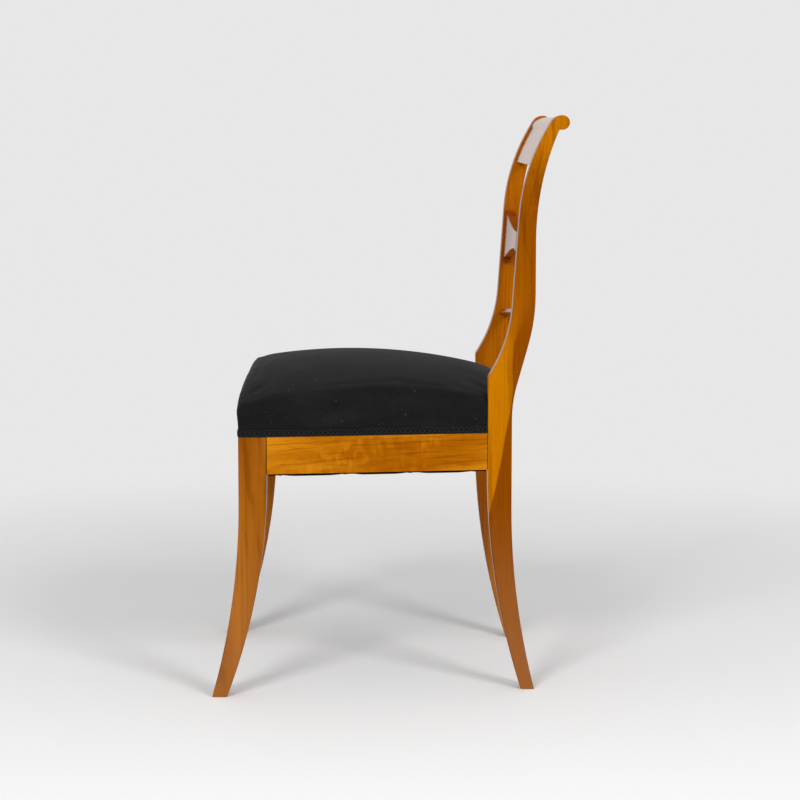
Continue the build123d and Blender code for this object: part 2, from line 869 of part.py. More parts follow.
for step, name in zip(strap_steps, strap_names_along):
    crossings = [(across_y(other), (step + other) % 2 == 0) for other in strap_steps]
    plane = Plane((along_x(step), 0, strap_level), x_dir=(0, 1, 0), z_dir=(1, 0, 0))
    strap_along = strap(plane, along_ends, (front_rail_back, rear_rail_face), crossings)
    save(strap_along, f"webbing_along_{name}")

for step, name in zip(strap_steps, strap_names_across):
    crossings = [(along_x(other), (step + other) % 2 == 1) for other in strap_steps]
    reach, edge = across_reach(across_y(step))
    plane = Plane((0, across_y(step), strap_level), x_dir=(1, 0, 0), z_dir=(0, -1, 0))
    strap_across = strap(plane, (-reach, reach), (-edge, edge), crossings)
    save(strap_across, f"webbing_across_{name}")


# Tacks and dust cover
def tacks(places, head_top):
    """Tacks driven up into the rails, with their heads below."""
    with BuildPart() as group:
        add(rods(places, tack_head_radius, (head_top - tack_head_thickness, head_top)))
        add(rods(places, tack_shank_radius, (head_top, head_top + tack_length)))
    return group


save(tacks(webbing_tack_places, webbing_tack_top), "webbing_tacks")
save(tacks(dust_tack_places, dust_cover_bottom), "dust_cover_tacks")

with BuildPart() as dust_cover:
    cover_span = (dust_cover_bottom, dust_cover_top)
    add(plan(both_sides(seat_outline(dust_cover_edge)), cover_span))
    for side in (1, -1):
        leg_edge = side * (front_leg_inner - cover_fit)
        stile_edge = side * (stile_inner - cover_fit)
        leg_span = sorted((leg_edge, side * beyond))
        stile_span = sorted((stile_edge, side * beyond))
        add(block(leg_span, (-beyond, front_leg_back + cover_fit), cover_span), mode=Mode.SUBTRACT)
        add(block(stile_span, (stile_face - cover_fit, beyond), cover_span), mode=Mode.SUBTRACT)
    add(dust_tack_holes, mode=Mode.SUBTRACT)
save(dust_cover, "dust_cover")


# Waisted coil springs, tied to the crossings of the webbing
spring_bottom = strap_level + strap_thickness + spring_seat_gap + spring_wire / 2
half_turns = 2 * spring_turns


def spring_point(t):
    """A point of the wire's centre line, with t from 0 at the foot to 1 at the top."""
    angle = 2 * math.pi * spring_turns * t
    radius = spring_waist_radius + (spring_end_radius - spring_waist_radius) * (2 * t - 1) ** 2
    return Vector(radius * math.cos(angle), radius * math.sin(angle), spring_bottom + spring_height * t)


def spring_heading(t):
    """Direction of the wire there, from the rates of its angle and radius."""
    angle = 2 * math.pi * spring_turns * t
    flare = spring_end_radius - spring_waist_radius
    radius = spring_waist_radius + flare * (2 * t - 1) ** 2
    turning = 2 * math.pi * spring_turns * radius
    widening = 4 * flare * (2 * t - 1)
    return Vector(
        widening * math.cos(angle) - turning * math.sin(angle),
        widening * math.sin(angle) + turning * math.cos(angle),
        spring_height,
    ).normalized()


def biarc(start, start_heading, end, end_heading):
    """Two tangent arcs from one directed point to another, each as three points."""
    chord = end - start
    both = start_heading + end_heading
    a = 2 * (1 - start_heading.dot(end_heading))
    b = chord.dot(both)
    reach = (math.sqrt(b * b + a * chord.dot(chord)) - b) / a
    first = start + start_heading * reach
    last = end - end_heading * reach
    joint = (first + last) * 0.5
    arcs = []
    for p, q, corner_point in ((start, joint, first), (joint, end, last)):
        chord_middle = (p + q) * 0.5
        rise = corner_point - chord_middle
        half_angle = math.atan2(rise.length, (q - p).length / 2)
        arcs.append((p, chord_middle + rise * (math.tan(half_angle / 2) / math.tan(half_angle)), q))
    return arcs


with BuildPart() as spring:
    with BuildLine() as wire:
        for turn in range(half_turns):
            t0, t1 = turn / half_turns, (turn + 1) / half_turns
            for arc in biarc(spring_point(t0), spring_heading(t0), spring_point(t1), spring_heading(t1)):
                ThreePointArc(*arc)
    with BuildSketch(Plane(wire.line @ 0, z_dir=wire.line % 0)):
        Circle(spring_wire / 2)
    sweep(path=wire.line)

spring_places = [(along_x(i), across_y(j)) for i in (-1, 1) for j in (-1, 1)] + [(0, across_y(0))]
with BuildPart() as seat_springs:
    with Locations(*spring_places):
        add(spring.part)
save(seat_springs, "seat_springs")

sample_count = spring_samples * spring_turns
samples = [spring_point(n / sample_count) for n in range(sample_count + 1)]
half_turn = spring_samples // 2
spring_gap = min(
    (samples[a] - samples[b]).length
    for a in range(sample_count)
    for b in range(a + half_turn, sample_count + 1)
)
print("least gap in a spring's wire, mm:", round(spring_gap - spring_wire, 2))


# Hessian over the springs
hessian_under = spring_bottom + spring_height + spring_wire / 2 + spring_seat_gap
hessian_corners = [
    (front_half_width - hessian_edge, front_leg_face + hessian_edge),
    (side_x(stile_face - hessian_notch) - hessian_edge, stile_face - hessian_notch),
    (stile_inner - hessian_edge, rear_rail_back - hessian_edge),
]


def hessian_dome(inset, bottom, top):
    """A flat-topped dome from the rails up to the springs' tops."""
    with BuildPart() as dome:
        for height, draw_in in ((bottom, inset), (top, inset + hessian_run)):
            with BuildSketch(Plane.XY.offset(height)):
                with BuildLine():
                    Polyline(*both_sides(hessian_corners), close=True)
                make_face()
                if draw_in:
                    offset(amount=-draw_in, kind=Kind.INTERSECTION)
        loft(ruled=True)
    return dome.part


with BuildPart() as spring_hessian:
    add(hessian_dome(0, rail_top, hessian_under + hessian_thickness))
    add(hessian_dome(hessian_thickness, rail_top, hessian_under), mode=Mode.SUBTRACT)
save(spring_hessian, "spring_hessian")


# Stuffing, wadding, cover and braid, from the inside outwards
wadding_inset = cover_thickness + cover_fit
hair_inset = wadding_inset + wadding_thickness + cover_fit
stuffing_bottom = rail_top + cover_fit
cover_bottom = fabric_line + cover_hem

hair_form = seat_form(hair_inset, stuffing_bottom)
hair_hollow = hessian_dome(0, stuffing_bottom, hessian_under + hessian_thickness + cover_fit)
with BuildPart() as hair_stuffing:
    add(hair_form)
    add(hair_hollow, mode=Mode.SUBTRACT)
save(hair_stuffing, "hair_stuffing")

wadding_form = seat_form(wadding_inset, stuffing_bottom)
wadding_hollow = seat_form(hair_inset - cover_fit, rail_bottom)
with BuildPart() as wadding_layer:
    add(wadding_form)
    add(wadding_hollow, mode=Mode.SUBTRACT)
    add(hair_hollow, mode=Mode.SUBTRACT)
save(wadding_layer, "wadding_layer")

cover_form = seat_form(0, cover_bottom)
cover_hollow = seat_form(cover_thickness, rail_bottom)
rail_room = seat_column(cover_thickness, (rail_bottom, stuffing_bottom))
with BuildPart() as seat_cover:
    add(cover_form)
    add(cover_hollow, mode=Mode.SUBTRACT)
    add(rail_room, mode=Mode.SUBTRACT)
    add(hair_hollow, mode=Mode.SUBTRACT)
save(seat_cover, "seat_cover")

braid_span = (fabric_line, fabric_line + braid_height)
braid_ring = seat_column(-braid_thickness, braid_span)
braid_bore = seat_column(0, (rail_bottom, rail_top + rail_height))
braid_stop = block((-beyond, beyond), (stile_face - cover_stile_gap, beyond), braid_span)
with BuildPart() as gimp_braid:
    add(braid_ring)
    add(braid_bore, mode=Mode.SUBTRACT)
    add(braid_stop, mode=Mode.SUBTRACT)
save(gimp_braid, "gimp_braid")

braid_end = stile_inner - cover_stile_gap
with BuildPart() as back_gimp_braid:
    add(block((-braid_end, braid_end), (rear_rail_back, rear_rail_back + braid_thickness), braid_span))
save(back_gimp_braid, "back_gimp_braid")
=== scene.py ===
# %% [markdown]
# A Biedermeier side chair, dressed around its measured frame.
# The joined wooden frame arrives as finished solids: legs, stiles, rails, crest, splat and the
# hidden blocks, springs and tacks. They keep their shapes and get their wood and metal here.
# Everything soft arrives as a plain solid, and each of those is modelled again as cloth,
# braid, webbing or stuffing. All sizes are metres: +Z is up, the sitter faces -Y, and the
# photograph looks at the chair from +X, the sitter's left.

# %% The frame and its box
import math
import bpy
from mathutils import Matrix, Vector


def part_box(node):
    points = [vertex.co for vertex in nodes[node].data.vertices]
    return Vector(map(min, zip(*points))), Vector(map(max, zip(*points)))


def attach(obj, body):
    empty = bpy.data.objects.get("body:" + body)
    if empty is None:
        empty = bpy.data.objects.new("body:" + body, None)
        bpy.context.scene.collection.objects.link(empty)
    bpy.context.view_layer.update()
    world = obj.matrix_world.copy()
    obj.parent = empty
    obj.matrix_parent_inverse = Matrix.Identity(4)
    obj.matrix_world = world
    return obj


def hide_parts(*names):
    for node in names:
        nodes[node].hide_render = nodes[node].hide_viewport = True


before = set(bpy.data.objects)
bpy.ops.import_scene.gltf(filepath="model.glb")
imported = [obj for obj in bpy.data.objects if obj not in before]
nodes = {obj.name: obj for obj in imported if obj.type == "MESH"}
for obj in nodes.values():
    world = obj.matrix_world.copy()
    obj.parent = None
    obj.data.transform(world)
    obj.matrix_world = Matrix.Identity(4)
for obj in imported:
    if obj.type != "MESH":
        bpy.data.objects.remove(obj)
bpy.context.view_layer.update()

scene = bpy.context.scene

# %% [markdown]
# Most steps below use the same few moves of a person at the keyboard: make one piece the
# only selected thing, enter edit mode with some faces or points picked by their place, apply
# the modifiers. Operators act on all that is selected, and the frame arrives selected, so
# each helper first clears the selection.

# %% Helpers for selecting
def work_on(piece):
    """Make one piece the only selected and active object."""
    bpy.ops.object.select_all(action="DESELECT")
    piece.select_set(True)
    bpy.context.view_layer.objects.active = piece


def pick(piece, kind, test):
    """Enter edit mode with only the points, edges or faces selected that pass a test."""
    work_on(piece)
    bpy.ops.object.mode_set(mode="EDIT")
    bpy.ops.mesh.select_mode(type=kind)
    bpy.ops.mesh.select_all(action="DESELECT")
    bpy.ops.object.mode_set(mode="OBJECT")
    mesh = piece.data
    if kind == "VERT":
        for point in mesh.vertices:
            point.select = test(point.co)
    elif kind == "EDGE":
        for edge in mesh.edges:
            a, b = (mesh.vertices[v].co for v in edge.vertices)
            edge.select = test(a, b)
    else:
        for face in mesh.polygons:
            face.select = test(face.center, face.normal)
    bpy.ops.object.mode_set(mode="EDIT")


def leave():
    """Back to object mode."""
    bpy.ops.object.mode_set(mode="OBJECT")


# %% Helpers for shaping
def modify(piece, kind, **settings):
    """Add one modifier with its settings and apply it."""
    work_on(piece)
    modifier = piece.modifiers.new(kind.lower(), kind)
    for key, value in settings.items():
        setattr(modifier, key, value)
    bpy.ops.object.modifier_apply(modifier=modifier.name)


def named(name):
    """Name the active object and its mesh, and put its place into the mesh."""
    piece = bpy.context.object
    piece.name = piece.data.name = name
    bpy.ops.object.transform_apply(location=True, rotation=True, scale=True)
    return piece


def modelled_copy(node, name):
    """A new piece that starts from a node's mesh, with the loose triangles merged."""
    piece = bpy.data.objects.new(name, nodes[node].data.copy())
    piece.data.name = name
    piece.data.materials.clear()
    scene.collection.objects.link(piece)
    pick(piece, "VERT", lambda co: True)
    bpy.ops.mesh.remove_doubles(threshold=0.00002)
    leave()
    return piece


def smooth(piece, degrees):
    """Round shading, with edges sharper than an angle left crisp."""
    work_on(piece)
    bpy.ops.object.shade_smooth_by_angle(angle=math.radians(degrees))


def belongs(piece, slot, *stands_for):
    """Fix a piece to the chair's one body and hide the nodes it stands for; the slot is not used."""
    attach(piece, "root")
    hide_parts(*stands_for)
    print(piece.name, "faces:", len(piece.data.polygons), "for:", ", ".join(stands_for))


# %% [markdown]
# The camera stands where the photograph was taken: level with the crest rail, about 3.7 m
# from the middle of the chair on the sitter's left, and turned a touch towards the back legs.
# The place and the focal length come from the feet, stiles and rails of the two sides, whose
# known distance apart shows up as a small shift between near and far.

# %% Camera
camera_place = (3.6763, -0.05105, 0.8811)
camera_turn = 0.0193
camera_dip = 0.1216
camera_lens = 102.72
sensor_width = 36
sight_end = 50

bpy.ops.object.camera_add(
    location=camera_place,
    rotation=(math.pi / 2 - camera_dip, 0, math.pi / 2 - camera_turn),
)
camera = bpy.context.object
camera.name = "photo_camera"
camera.data.lens = camera_lens
camera.data.sensor_width = sensor_width
camera.data.clip_end = sight_end
scene.camera = camera
print("camera at", tuple(camera.location), "lens", camera.data.lens)

# %% [markdown]
# The studio is a white room without corners. A flat floor with a wall would show a line, and
# a sweep on one side would stand in the way of a camera that goes round the chair. So the
# floor is a wide disc whose rim is extruded up in small steps along a quarter circle, like a
# shallow dish, and every view sees floor melt into backdrop.

# %% Floor and backdrop
floor_radius = 4.3
cove_radius = 2.4
wall_height = 2.2
cove_steps = 14
rim_corners = 128

bpy.ops.object.select_all(action="DESELECT")
bpy.ops.mesh.primitive_circle_add(vertices=rim_corners, radius=floor_radius, fill_type="NGON")
studio = named("studio_floor")
pick(studio, "EDGE", lambda a, b: True)
rim = floor_radius
height = 0.0
for step in range(1, cove_steps + 1):
    angle = step / cove_steps * math.pi / 2
    new_rim = floor_radius + cove_radius * math.sin(angle)
    new_height = cove_radius * (1 - math.cos(angle))
    bpy.ops.mesh.extrude_edges_move(TRANSFORM_OT_translate={"value": (0, 0, new_height - height)})
    bpy.ops.transform.resize(value=(new_rim / rim, new_rim / rim, 1))
    rim, height = new_rim, new_height
bpy.ops.mesh.extrude_edges_move(TRANSFORM_OT_translate={"value": (0, 0, wall_height)})
bpy.ops.mesh.select_all(action="SELECT")
bpy.ops.mesh.normals_make_consistent(inside=True)
leave()
smooth(studio, 60)
print("studio floor:", len(studio.data.polygons), "faces")

# %% [markdown]
# Light comes from two soft boxes, one on each side of the camera, and from an even white
# room. The photograph shows both boxes in its shadows: two run from every foot, one to the
# far left and one to the far right, and their slant gives the bearing of each box from the
# direction of the camera. The level is kept plain, so that a colour renders about as it is
# written.

# %% Lights
box_size = 1.0
box_distance = 3.4
box_height = 2.55
boxes = {"box_left": (-24.0, 60.0), "box_right": (35.0, 54.0)}
aim = Vector((0, 0, 0.45))

for name, (bearing, power) in boxes.items():
    turn = math.radians(bearing)
    place = Vector((box_distance * math.cos(turn), box_distance * math.sin(turn), box_height))
    bpy.ops.object.light_add(type="AREA", location=place)
    lamp = bpy.context.object
    lamp.name = name
    lamp.data.shape = "SQUARE"
    lamp.data.size = box_size
    lamp.data.energy = power
    lamp.rotation_euler = (aim - place).to_track_quat("-Z", "Y").to_euler()
    lamp.visible_camera = False

room_light = 0.5
world = bpy.data.worlds.new("white_room")
scene.world = world
world.use_nodes = True
background = world.node_tree.nodes["Background"].inputs
background["Color"].default_value = (1, 1, 1, 1)
background["Strength"].default_value = room_light
scene.view_settings.view_transform = "Standard"
print("lights:", list(boxes), "room", room_light)

# %% [markdown]
# A finish is a small network of nodes. To keep it readable, one helper adds a node, sets its
# options and connects its inputs, and another starts a material with its surface shader.
# Colours are written as a screen shows them, from 0 to 255, and turned into linear light.

# %% Helpers for finishes
def tone(red, green, blue):
    """A screen colour as linear light."""
    linear = []
    for value in (red / 255, green / 255, blue / 255):
        linear.append(value / 12.92 if value <= 0.04045 else ((value + 0.055) / 1.055) ** 2.4)
    return (*linear, 1.0)


def new_finish(name, **surface):
    """A material with one surface shader, and its tree and shader."""
    material = bpy.data.materials.new(name)
    material.use_nodes = True
    tree = material.node_tree
    shader = tree.nodes["Principled BSDF"]
    for key, value in surface.items():
        shader.inputs[key.replace("_", " ")].default_value = value
    return material, tree, shader


def add(tree, kind, options=None, **inputs):
    """Add a node, set its options, and set or connect its inputs, by name or as i0, i1 and so on."""
    node = tree.nodes.new(kind)
    for key, value in (options or {}).items():
        setattr(node, key, value)
    for key, value in inputs.items():
        numbered = key[0] == "i" and key[1:].isdigit()
        socket = node.inputs[int(key[1:]) if numbered else key.replace("_", " ")]
        if isinstance(value, bpy.types.NodeSocket):
            tree.links.new(value, socket)
        else:
            socket.default_value = value
    return node


# %% Helpers for patterns
def math_node(tree, operation, *values):
    """A sum, product or other step on single numbers."""
    inputs = {f"i{n}": value for n, value in enumerate(values)}
    return add(tree, "ShaderNodeMath", {"operation": operation}, **inputs).outputs[0]


def blend(tree, factor, first, second):
    """Mix two colours."""
    node = add(tree, "ShaderNodeMix", {"data_type": "RGBA"}, i0=factor, i6=first, i7=second)
    return node.outputs[2]


def ramp(tree, value, low, high):
    """Stretch a range of values to 0 and 1, smoothly."""
    node = add(
        tree,
        "ShaderNodeMapRange",
        {"interpolation_type": "SMOOTHSTEP"},
        Value=value,
        From_Min=low,
        From_Max=high,
    )
    return node.outputs[0]


def stretched_noise(tree, place, scale, detail=2.0, distortion=0.0):
    """Noise whose grain differs along the three axes, in repeats per metre."""
    spread = add(tree, "ShaderNodeMapping", Vector=place, Scale=scale).outputs[0]
    settings = {"Scale": 1.0, "Detail": detail, "Distortion": distortion}
    return add(tree, "ShaderNodeTexNoise", Vector=spread, **settings).outputs["Fac"]


# %% [markdown]
# Cherry under french polish has a warm gold to red-brown ground, growth rings that show as
# thin darker lines along the board, streaks and fine pores, and in places a mottled, silky
# figure across the grain. One network makes all the wood. The grain is turned to run along
# each piece, the rings are circles round a pith line that is tilted a little, so that flat
# faces cut them in long arches, and the tones and strengths change from piece to piece.
# The polish is a thin clear coat that mirrors little straight on and much at a low angle,
# which gives the pale gloss on the boards of the back. Glue lines show as dark hairs. Each
# noise of the wood is given by its repeats per metre, two across the grain and one along it,
# its detail and its distortion.

# %% Cherry: polish, tones and noises
grain_turns = {"X": (0, -math.pi / 2, 0), "Y": (math.pi / 2, 0, 0), "Z": (0, 0, 0)}
polish = {
    "Roughness": 0.4,
    "Specular_IOR_Level": 0.0,
    "Coat_Roughness": 0.12,
    "Coat_IOR": 1.4,
}
gloss_range = (0.2, 0.8)
dark_line = tone(108, 50, 2)
glue_line = tone(52, 22, 4)
glue_half = 0.0005
worn_tan = tone(188, 132, 84)
worn_height = 0.32
ring_drift = (0.014, 0.014, 0)
ring_wave = {"wave_type": "RINGS", "rings_direction": "Z", "wave_profile": "SIN"}
wood_noises = {
    "streaks": ((240, 240, 5), 4.0, 0.3),
    "fine": ((900, 900, 25), 3.0, 0.0),
    "pores": ((2400, 2400, 130), 0.0, 0.0),
    "flame": ((50, 50, 110), 1.0, 0.4),
    "patch": ((9, 9, 6), 1.0, 0.0),
    "cloud": ((22, 22, 3), 1.0, 0.0),
}
fine_strength = 0.12
pore_strength = 0.25
glue_strength = 0.8
print("cherry: grain", sorted(grain_turns), "noises", len(wood_noises))


# %% Cherry: growth rings
def darken(tree, colour, amount, strength, shade=dark_line):
    """Lay a dark shade over a colour where an amount says."""
    return blend(tree, math_node(tree, "MULTIPLY", amount, strength), colour, shade)


def growth_rings(tree, along, pith, tilt, ring):
    """Thin lines on circles round a tilted pith line, which wander and come and go."""
    drift = stretched_noise(tree, along, (20, 20, 3.5), 2.0)
    step = {"operation": "MULTIPLY_ADD"}
    wander = add(tree, "ShaderNodeVectorMath", step, i0=drift, i1=ring_drift, i2=along)
    pith_line = add(
        tree, "ShaderNodeMapping", Vector=wander.outputs[0], Location=(*pith, 0), Rotation=(*tilt, 0)
    )
    rings = add(
        tree,
        "ShaderNodeTexWave",
        ring_wave,
        Vector=pith_line.outputs[0],
        Scale=math.pi / 10 / ring,
        Distortion=0.8,
        Detail=1.0,
    )
    shown = ramp(tree, stretched_noise(tree, along, (70, 70, 7), 1.0), 0.38, 0.62)
    return math_node(tree, "MULTIPLY", ramp(tree, rings.outputs["Fac"], 0.62, 1.0), shown)


# %% Cherry: the whole finish
def cherry(
    name, grain, light, dark, pith, tilt=(0.03, 0.05), ring=0.006, lines=0.4, figure=0.2,
    heart=None, seams=(), worn=0.0, gloss=0.55,
):
    """Polished cherry: grain along one axis, glue lines along Y, paler where worn at the feet."""
    material, tree, shader = new_finish(name, **polish)
    facing = add(tree, "ShaderNodeLayerWeight", Blend=0.5).outputs["Facing"]
    shine = math_node(tree, "MULTIPLY", ramp(tree, facing, *gloss_range), gloss)
    tree.links.new(shine, shader.inputs["Coat Weight"])
    place = add(tree, "ShaderNodeTexCoord").outputs["Object"]
    along = add(tree, "ShaderNodeMapping", Vector=place, Rotation=grain_turns[grain]).outputs[0]
    noise = {key: stretched_noise(tree, along, *values) for key, values in wood_noises.items()}

    body = heart(tree, place) if heart else ramp(tree, noise["cloud"], 0.35, 0.68)
    colour = blend(tree, body, light, dark)
    patches = ramp(tree, noise["patch"], 0.4, 0.6)
    shown = math_node(tree, "MULTIPLY", ramp(tree, noise["flame"], 0.36, 0.8), patches)
    colour = blend(tree, math_node(tree, "MULTIPLY", shown, figure), colour, light)
    colour = darken(tree, colour, growth_rings(tree, along, pith, tilt, ring), lines)
    colour = darken(tree, colour, ramp(tree, noise["streaks"], 0.45, 0.75), lines)
    colour = darken(tree, colour, ramp(tree, noise["fine"], 0.45, 0.75), fine_strength)
    colour = darken(tree, colour, ramp(tree, noise["pores"], 0.66, 0.74), pore_strength)
    split = add(tree, "ShaderNodeSeparateXYZ", Vector=place)
    if worn:
        low = math_node(tree, "SUBTRACT", 1.0, ramp(tree, split.outputs["Z"], 0.0, worn_height))
        colour = blend(tree, math_node(tree, "MULTIPLY", low, worn), colour, worn_tan)
    for seam in seams:
        off = math_node(tree, "ABSOLUTE", math_node(tree, "SUBTRACT", split.outputs["Y"], seam))
        close = math_node(tree, "SUBTRACT", 1.0, ramp(tree, off, glue_half, 2 * glue_half))
        colour = darken(tree, colour, close, glue_strength, glue_line)
    tree.links.new(colour, shader.inputs["Base Color"])
    relief = add(tree, "ShaderNodeBump", Height=noise["fine"], Strength=0.05, Distance=0.0004)
    tree.links.new(relief.outputs[0], shader.inputs["Normal"])
    return material


# %% [markdown]
# The near stile shows the inside of the tree. Below the back, its front is pale sapwood and
# its rear is brown heartwood, with a crisp border that enters low on the front of the leg and
# runs up to the back edge. Above, the wood is an even brown with one thin dark ring that
# bends forward, and it turns gold again at the scroll. Curve nodes hold, against height, the
# depth of the border, how brown the wood is in front of it, and how much more behind it.

# %% The border between sapwood and heartwood
border = [
    (0.20, 0.140), (0.28, 0.1555), (0.34, 0.168), (0.39, 0.1768), (0.45, 0.1885), (0.54, 0.190),
    (0.56, 0.1936), (0.60, 0.206), (0.66, 0.216), (0.71, 0.204), (0.76, 0.2155), (0.82, 0.230),
    (0.86, 0.237),
]
brown_in_front = [
    (0.50, 0.0), (0.54, 0.15), (0.60, 0.65), (0.70, 0.85), (0.76, 0.85), (0.82, 0.5), (0.87, 0.1),
]
brown_behind = [(0.51, 1.0), (0.55, 0.75), (0.60, 0.25), (0.66, 0.1), (0.86, 0.1)]
crisp = 0.0016
blurred = 0.012
blur_heights = (0.53, 0.6)
border_wander = 0.005
ring_line = (0.0003, 0.0014)
ring_heights = (0.62, 0.68)
ring_strength = 0.4
print("border:", len(border), "points")


# %% Brown by height and depth
def curve_node(tree, value, points):
    """A smooth curve through points, level beyond its ends."""
    node = tree.nodes.new("ShaderNodeFloatCurve")
    curve = node.mapping.curves[0]
    for place, height in points:
        curve.points.new(place, height)
    curve.points[0].location = (0, points[0][1])
    curve.points[len(curve.points) - 1].location = (1, points[-1][1])
    node.mapping.update()
    tree.links.new(value, node.inputs["Value"])
    return node.outputs[0]


def heartwood(tree, place):
    """How brown the near stile is, with its thin ring higher up."""
    split = add(tree, "ShaderNodeSeparateXYZ", Vector=place)
    height = split.outputs["Z"]
    wander = stretched_noise(tree, place, (30, 30, 9), 1.0)
    wander = math_node(tree, "MULTIPLY_ADD", wander, border_wander, -border_wander / 2)
    depth = math_node(tree, "SUBTRACT", split.outputs["Y"], curve_node(tree, height, border))
    depth = math_node(tree, "ADD", depth, wander)
    softness = math_node(tree, "MULTIPLY_ADD", ramp(tree, height, *blur_heights), blurred, crisp)
    behind = ramp(tree, depth, math_node(tree, "MULTIPLY", softness, -1.0), softness)
    more = math_node(tree, "MULTIPLY", behind, curve_node(tree, height, brown_behind))
    brown = math_node(tree, "ADD", more, curve_node(tree, height, brown_in_front))
    off = math_node(tree, "ABSOLUTE", depth)
    ring = math_node(tree, "SUBTRACT", 1.0, ramp(tree, off, *ring_line))
    ring = math_node(tree, "MULTIPLY", ring, ramp(tree, height, *ring_heights))
    return math_node(tree, "MULTIPLY_ADD", ring, ring_strength, brown)


# %% [markdown]
# Each board gets its own cut of the tree: gold and streaky along the side rails, redder on
# the front legs and the splat, quiet brown in the rest of the back. The splat's tones are
# also made darker, as painted shade on the edges of its carved bow.

# %% Wood on the frame
sap_gold = tone(186, 112, 2)
heart_brown = tone(132, 66, 1)
rail_gold = tone(208, 132, 20)
rail_brown = tone(156, 84, 2)
leg_red = tone(167, 98, 22)
leg_brown = tone(134, 73, 10)
back_light = tone(178, 99, 4)
back_brown = tone(146, 74, 6)
# The splat's red and brown are darker than its wood: painted shade for the edges of its bow.
splat_red_painted_shade = tone(152, 72, 18)
splat_brown_painted_shade = tone(112, 48, 10)
joint_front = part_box("front_leg_left")[1].y
joint_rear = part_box("rear_stile_left")[0].y
joints = (joint_front, joint_rear)


def side_rail(name, side):
    """Rail wood whose pith lies low and inside, on one side of the chair."""
    return cherry(
        name, "Y", rail_gold, rail_brown, (-side * 0.165, 0.325), tilt=(0.02, 0.06),
        lines=0.38, figure=0.7, seams=joints,
    )


def back_board(name, pith, light=back_light, dark=back_brown):
    """Quiet, glossy wood for a board that lies across the back."""
    return cherry(name, "X", light, dark, pith, lines=0.35, gloss=1.0)


wood = {
    "front_leg_left": cherry(
        "leg_cherry", "Z", leg_red, leg_brown, (0.06, 0.30), lines=0.42, seams=joints, worn=0.22
    ),
    "rear_stile_left": cherry(
        "near_stile_cherry", "Z", sap_gold, heart_brown, (0.05, -0.10), ring=0.011, lines=0.42,
        heart=heartwood, worn=0.3,
    ),
    "rear_stile_right": cherry(
        "far_stile_cherry", "Z", back_light, back_brown, (0.11, -0.30), lines=0.36, worn=0.3
    ),
    "side_seat_rail_left": side_rail("left_rail_cherry", 1),
    "side_seat_rail_right": side_rail("right_rail_cherry", -1),
    "front_seat_rail": cherry(
        "cross_rail_cherry", "X", rail_gold, rail_brown, (0.32, 0.17), lines=0.5, figure=0.5
    ),
    "crest_rail": back_board("crest_cherry", (0.78, -0.18)),
    # The splat takes the darker tones, which carry painted shade.
    "back_splat": back_board("splat_cherry_painted_shade", (0.62, -0.15), splat_red_painted_shade, splat_brown_painted_shade),
    "lower_back_rail": back_board("slat_cherry", (0.5, -0.15)),
}
same_wood = {"front_leg_right": "front_leg_left", "rear_seat_rail": "front_seat_rail"}


def dress(node, material):
    """Put a finish on a carried-over node."""
    slots = nodes[node].data.materials
    slots.clear()
    slots.append(material)


for node, material in wood.items():
    dress(node, material)
for node, like in same_wood.items():
    dress(node, wood[like])
print("wood on", len(wood) + len(same_wood), "pieces")

# %% [markdown]
# What nobody sees is dressed too: sawn softwood for the glued corner blocks, with saw marks
# across the grain, coppered wire for the springs and blued steel for the cut tacks.

# %% Blocks, springs and tacks
def softwood():
    """Plain sawn board with broad rings and saw marks."""
    material, tree, shader = new_finish("block_pine", Roughness=0.75)
    place = add(tree, "ShaderNodeTexCoord").outputs["Object"]
    rings = stretched_noise(tree, place, (40, 260, 40), 1.0, 0.3)
    colour = blend(tree, ramp(tree, rings, 0.4, 0.65), tone(206, 172, 118), tone(166, 120, 70))
    tree.links.new(colour, shader.inputs["Base Color"])
    saw = stretched_noise(tree, place, (30, 30, 900), 1.0)
    relief = add(tree, "ShaderNodeBump", Height=saw, Strength=0.4, Distance=0.0004)
    tree.links.new(relief.outputs[0], shader.inputs["Normal"])
    return material


def metal(name, bright, dull, roughness):
    """Drawn or cut metal with duller patches."""
    material, tree, shader = new_finish(name, Metallic=1.0, Roughness=roughness)
    place = add(tree, "ShaderNodeTexCoord").outputs["Object"]
    patches = ramp(tree, stretched_noise(tree, place, (220, 220, 220), 2.0), 0.4, 0.7)
    tree.links.new(blend(tree, patches, bright, dull), shader.inputs["Base Color"])
    rough = math_node(tree, "MULTIPLY_ADD", patches, 0.25, roughness)
    tree.links.new(rough, shader.inputs["Roughness"])
    return material


block_pine = softwood()
for end in ("front", "rear"):
    for side in ("left", "right"):
        dress(f"{end}_corner_block_{side}", block_pine)
dress("seat_springs", metal("coppered_wire", tone(176, 140, 112), tone(120, 84, 60), 0.3))
tack_blue = metal("blued_steel", tone(64, 66, 74), tone(34, 34, 38), 0.35)
for node in ("webbing_tacks", "dust_cover_tacks"):
    dress(node, tack_blue)
print("hidden hardware dressed")

# %% [markdown]
# The seat cover is cloth pulled tight over stuffing. It starts from the outside of the
# measured seat, the convex hull of the solid. Remeshing gives it an even net of small squares.
# Cloth that is held along its hem and blown up a little from inside then finds the taut,
# slightly swelling shape of a stuffed seat. It starts a little small, and a cap keeps every
# point within a millimetre or two of its start.

# %% Seat cover: a closed form
seat_lo, seat_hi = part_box("seat_cover")
net = 0.0065
shrink = 0.0008

seat = modelled_copy("seat_cover", "seat_cloth")
pick(seat, "VERT", lambda co: True)
bpy.ops.mesh.convex_hull()
leave()
modify(seat, "REMESH", mode="VOXEL", voxel_size=net)
modify(seat, "DISPLACE", strength=-shrink, mid_level=0)
print("seat form:", len(seat.data.polygons), "faces")

# %% Seat cover: helpers for cloth
hem_height = 0.012
swell_frames = 20
swell_stiffness = 30.0
swell_pressure = 4.0
swell_cap = 0.0014
sink_cap = 0.0004
cloth_steps = 6
cloth_mass = 0.3
cloth_bending = 2.0


def rest_places(piece):
    """The places and directions of all the points of a piece."""
    return [(point.co.copy(), point.normal.copy()) for point in piece.data.vertices]


